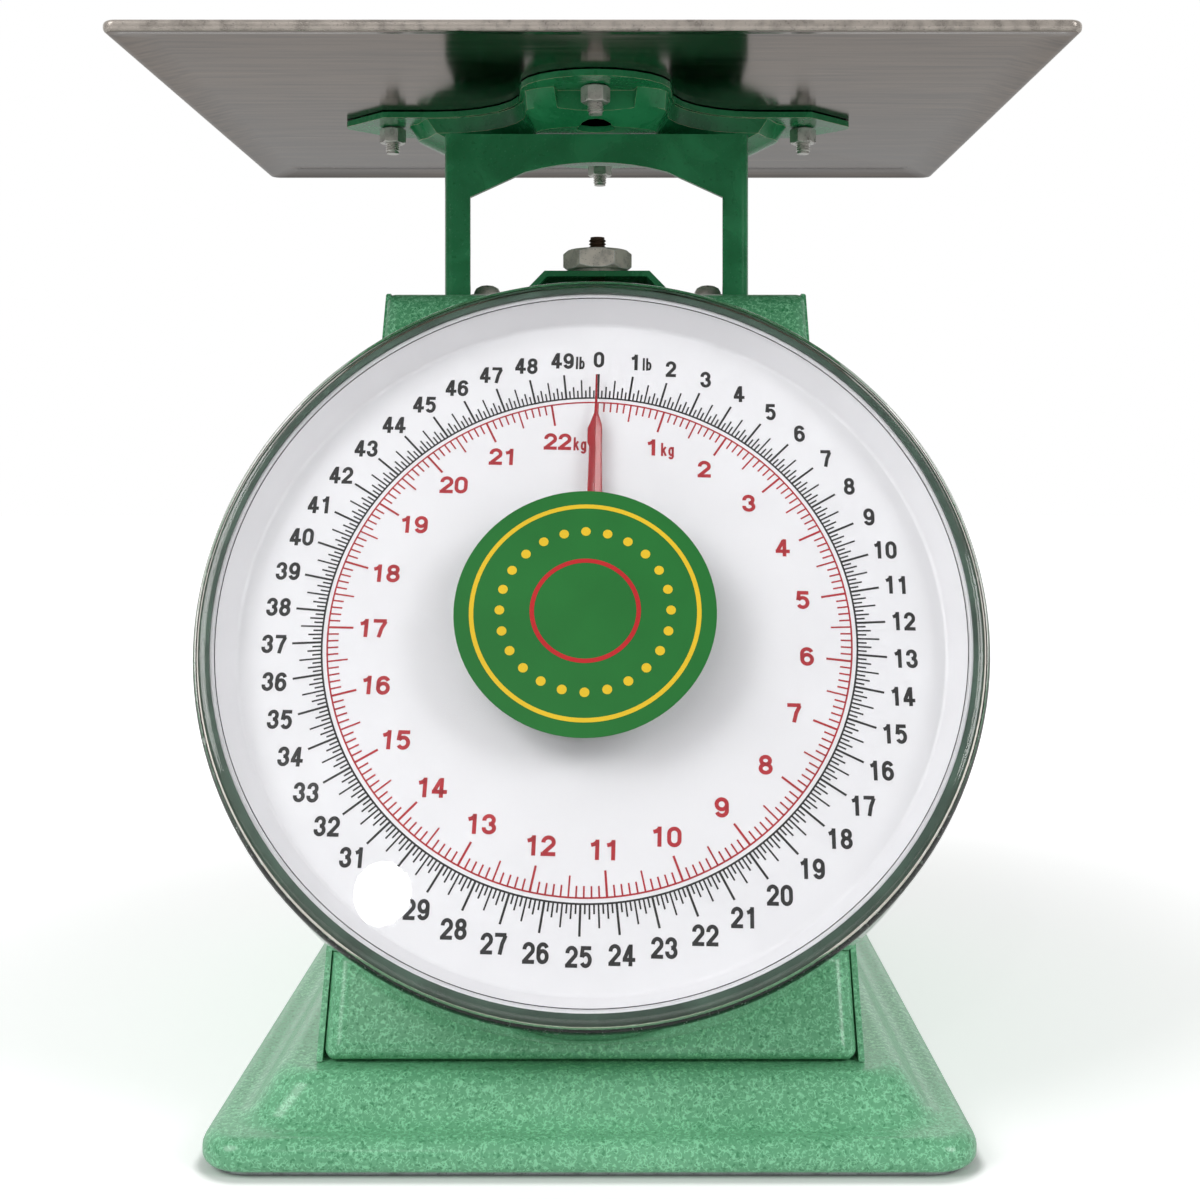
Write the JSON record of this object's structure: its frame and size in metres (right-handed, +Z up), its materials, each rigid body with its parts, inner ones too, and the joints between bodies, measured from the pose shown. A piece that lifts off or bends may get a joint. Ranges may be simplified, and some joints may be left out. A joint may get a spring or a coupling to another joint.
{
  "type": "mechanical dial platform scale",
  "caption": "Spring-loaded counter scale with a flat steel tray on a yoke, a leaning round dial under a clear cover, a red pointer and a zero nut under the tray.",
  "frame": {"origin": "under the middle of the scale's box, on the surface it stands on", "axes": "+Z up; the dial faces -Y and leans back; X across the dial"},
  "size_m": [0.269, 0.2746, 0.2937],
  "materials": {
    "green_paint": "hammered light green paint",
    "dark_green_paint": "dark green gloss paint",
    "stainless": "brushed stainless steel",
    "steel": "bright plated steel",
    "zinc_steel": "zinc-plated sheet steel",
    "dark_steel": "blackened threaded steel",
    "brass": "plain brass",
    "white_enamel": "white enamel with printed scales",
    "red_paint": "red gloss paint",
    "clear_plastic": "clear moulded plastic"
  },
  "bodies": {
    "stand": {"base_pan": "green_paint", "bottom_plate": "zinc_steel", "housing_shell": "green_paint", "front_panel": "green_paint", "dial_can": "green_paint", "dial_plate": "white_enamel", "clear_cover": "clear_plastic", "front_bush": "brass", "rear_bush": "brass", "shaft_bracket": "zinc_steel", "link_frame": "zinc_steel", "upper_pivot_pin": "steel", "lower_pivot_pin": "steel", "zero_bridge": "dark_green_paint", "bridge_screw_left": "steel", "bridge_screw_right": "steel", "main_spring_left": "steel", "main_spring_right": "steel"},
    "platform": {"tray": "stainless", "tray_bracket": "dark_green_paint", "stud_front": "steel", "stud_rear": "steel", "stud_left": "steel", "stud_right": "steel", "nut_front": "steel", "nut_rear": "steel", "nut_left": "steel", "nut_right": "steel", "yoke": "dark_green_paint", "upper_yoke_pin": "steel", "lower_yoke_pin": "steel", "load_bar": "steel", "rack": "brass"},
    "pointer": {"pointer": "red_paint", "pointer_cap": "brass", "dial_shaft": "steel", "pinion": "brass"},
    "upper_link": {"upper_link": "zinc_steel"},
    "lower_link": {"lower_link": "zinc_steel"},
    "zero_nut": {"zero_nut": "steel"},
    "zero_rod": {"zero_rod": "dark_steel", "hanger_bar": "steel"}
  },
  "joints": [
    {"name": "platform_travel", "type": "slide", "parent": "stand", "child": "platform", "axis": [0, 0, -1], "range_m": [0, 0.02097], "stiffness_N_per_m": 10605, "springref_m": -0.00128, "deforming": ["main_spring_left", "main_spring_right"]},
    {"name": "pointer_spin", "type": "hinge", "parent": "stand", "child": "pointer", "pos_m": [0, -0.06434, 0.11894], "axis": [0, 0.8988, -0.4384], "range_deg": [0, 360]},
    {"name": "upper_link_swing", "type": "hinge", "parent": "stand", "child": "upper_link", "pos_m": [0, -0.02168, 0.16951], "axis": [-1, 0, 0], "range_deg": [0, 17.75]},
    {"name": "lower_link_swing", "type": "hinge", "parent": "stand", "child": "lower_link", "pos_m": [0, -0.02168, 0.04151], "axis": [-1, 0, 0], "range_deg": [0, 17.75]},
    {"name": "zero_nut_turn", "type": "hinge", "parent": "stand", "child": "zero_nut", "pos_m": [0, 0.02831, 0.2422], "axis": [0, 0, 1], "range_deg": [-360, 360]},
    {"name": "zero_rod_lift", "type": "slide", "parent": "stand", "child": "zero_rod", "axis": [0, 0, 1], "range_m": [-0.001, 0.001]}
  ],
  "couplings": [
    {"joint": "pointer_spin", "follows": "platform_travel", "rad_per_m": 299.6},
    {"joint": "upper_link_swing", "follows": "platform_travel", "rad_per_m": 14.765},
    {"joint": "lower_link_swing", "follows": "platform_travel", "rad_per_m": 14.765},
    {"joint": "zero_rod_lift", "follows": "zero_nut_turn", "m_per_rad": -0.00015915}
  ]
}
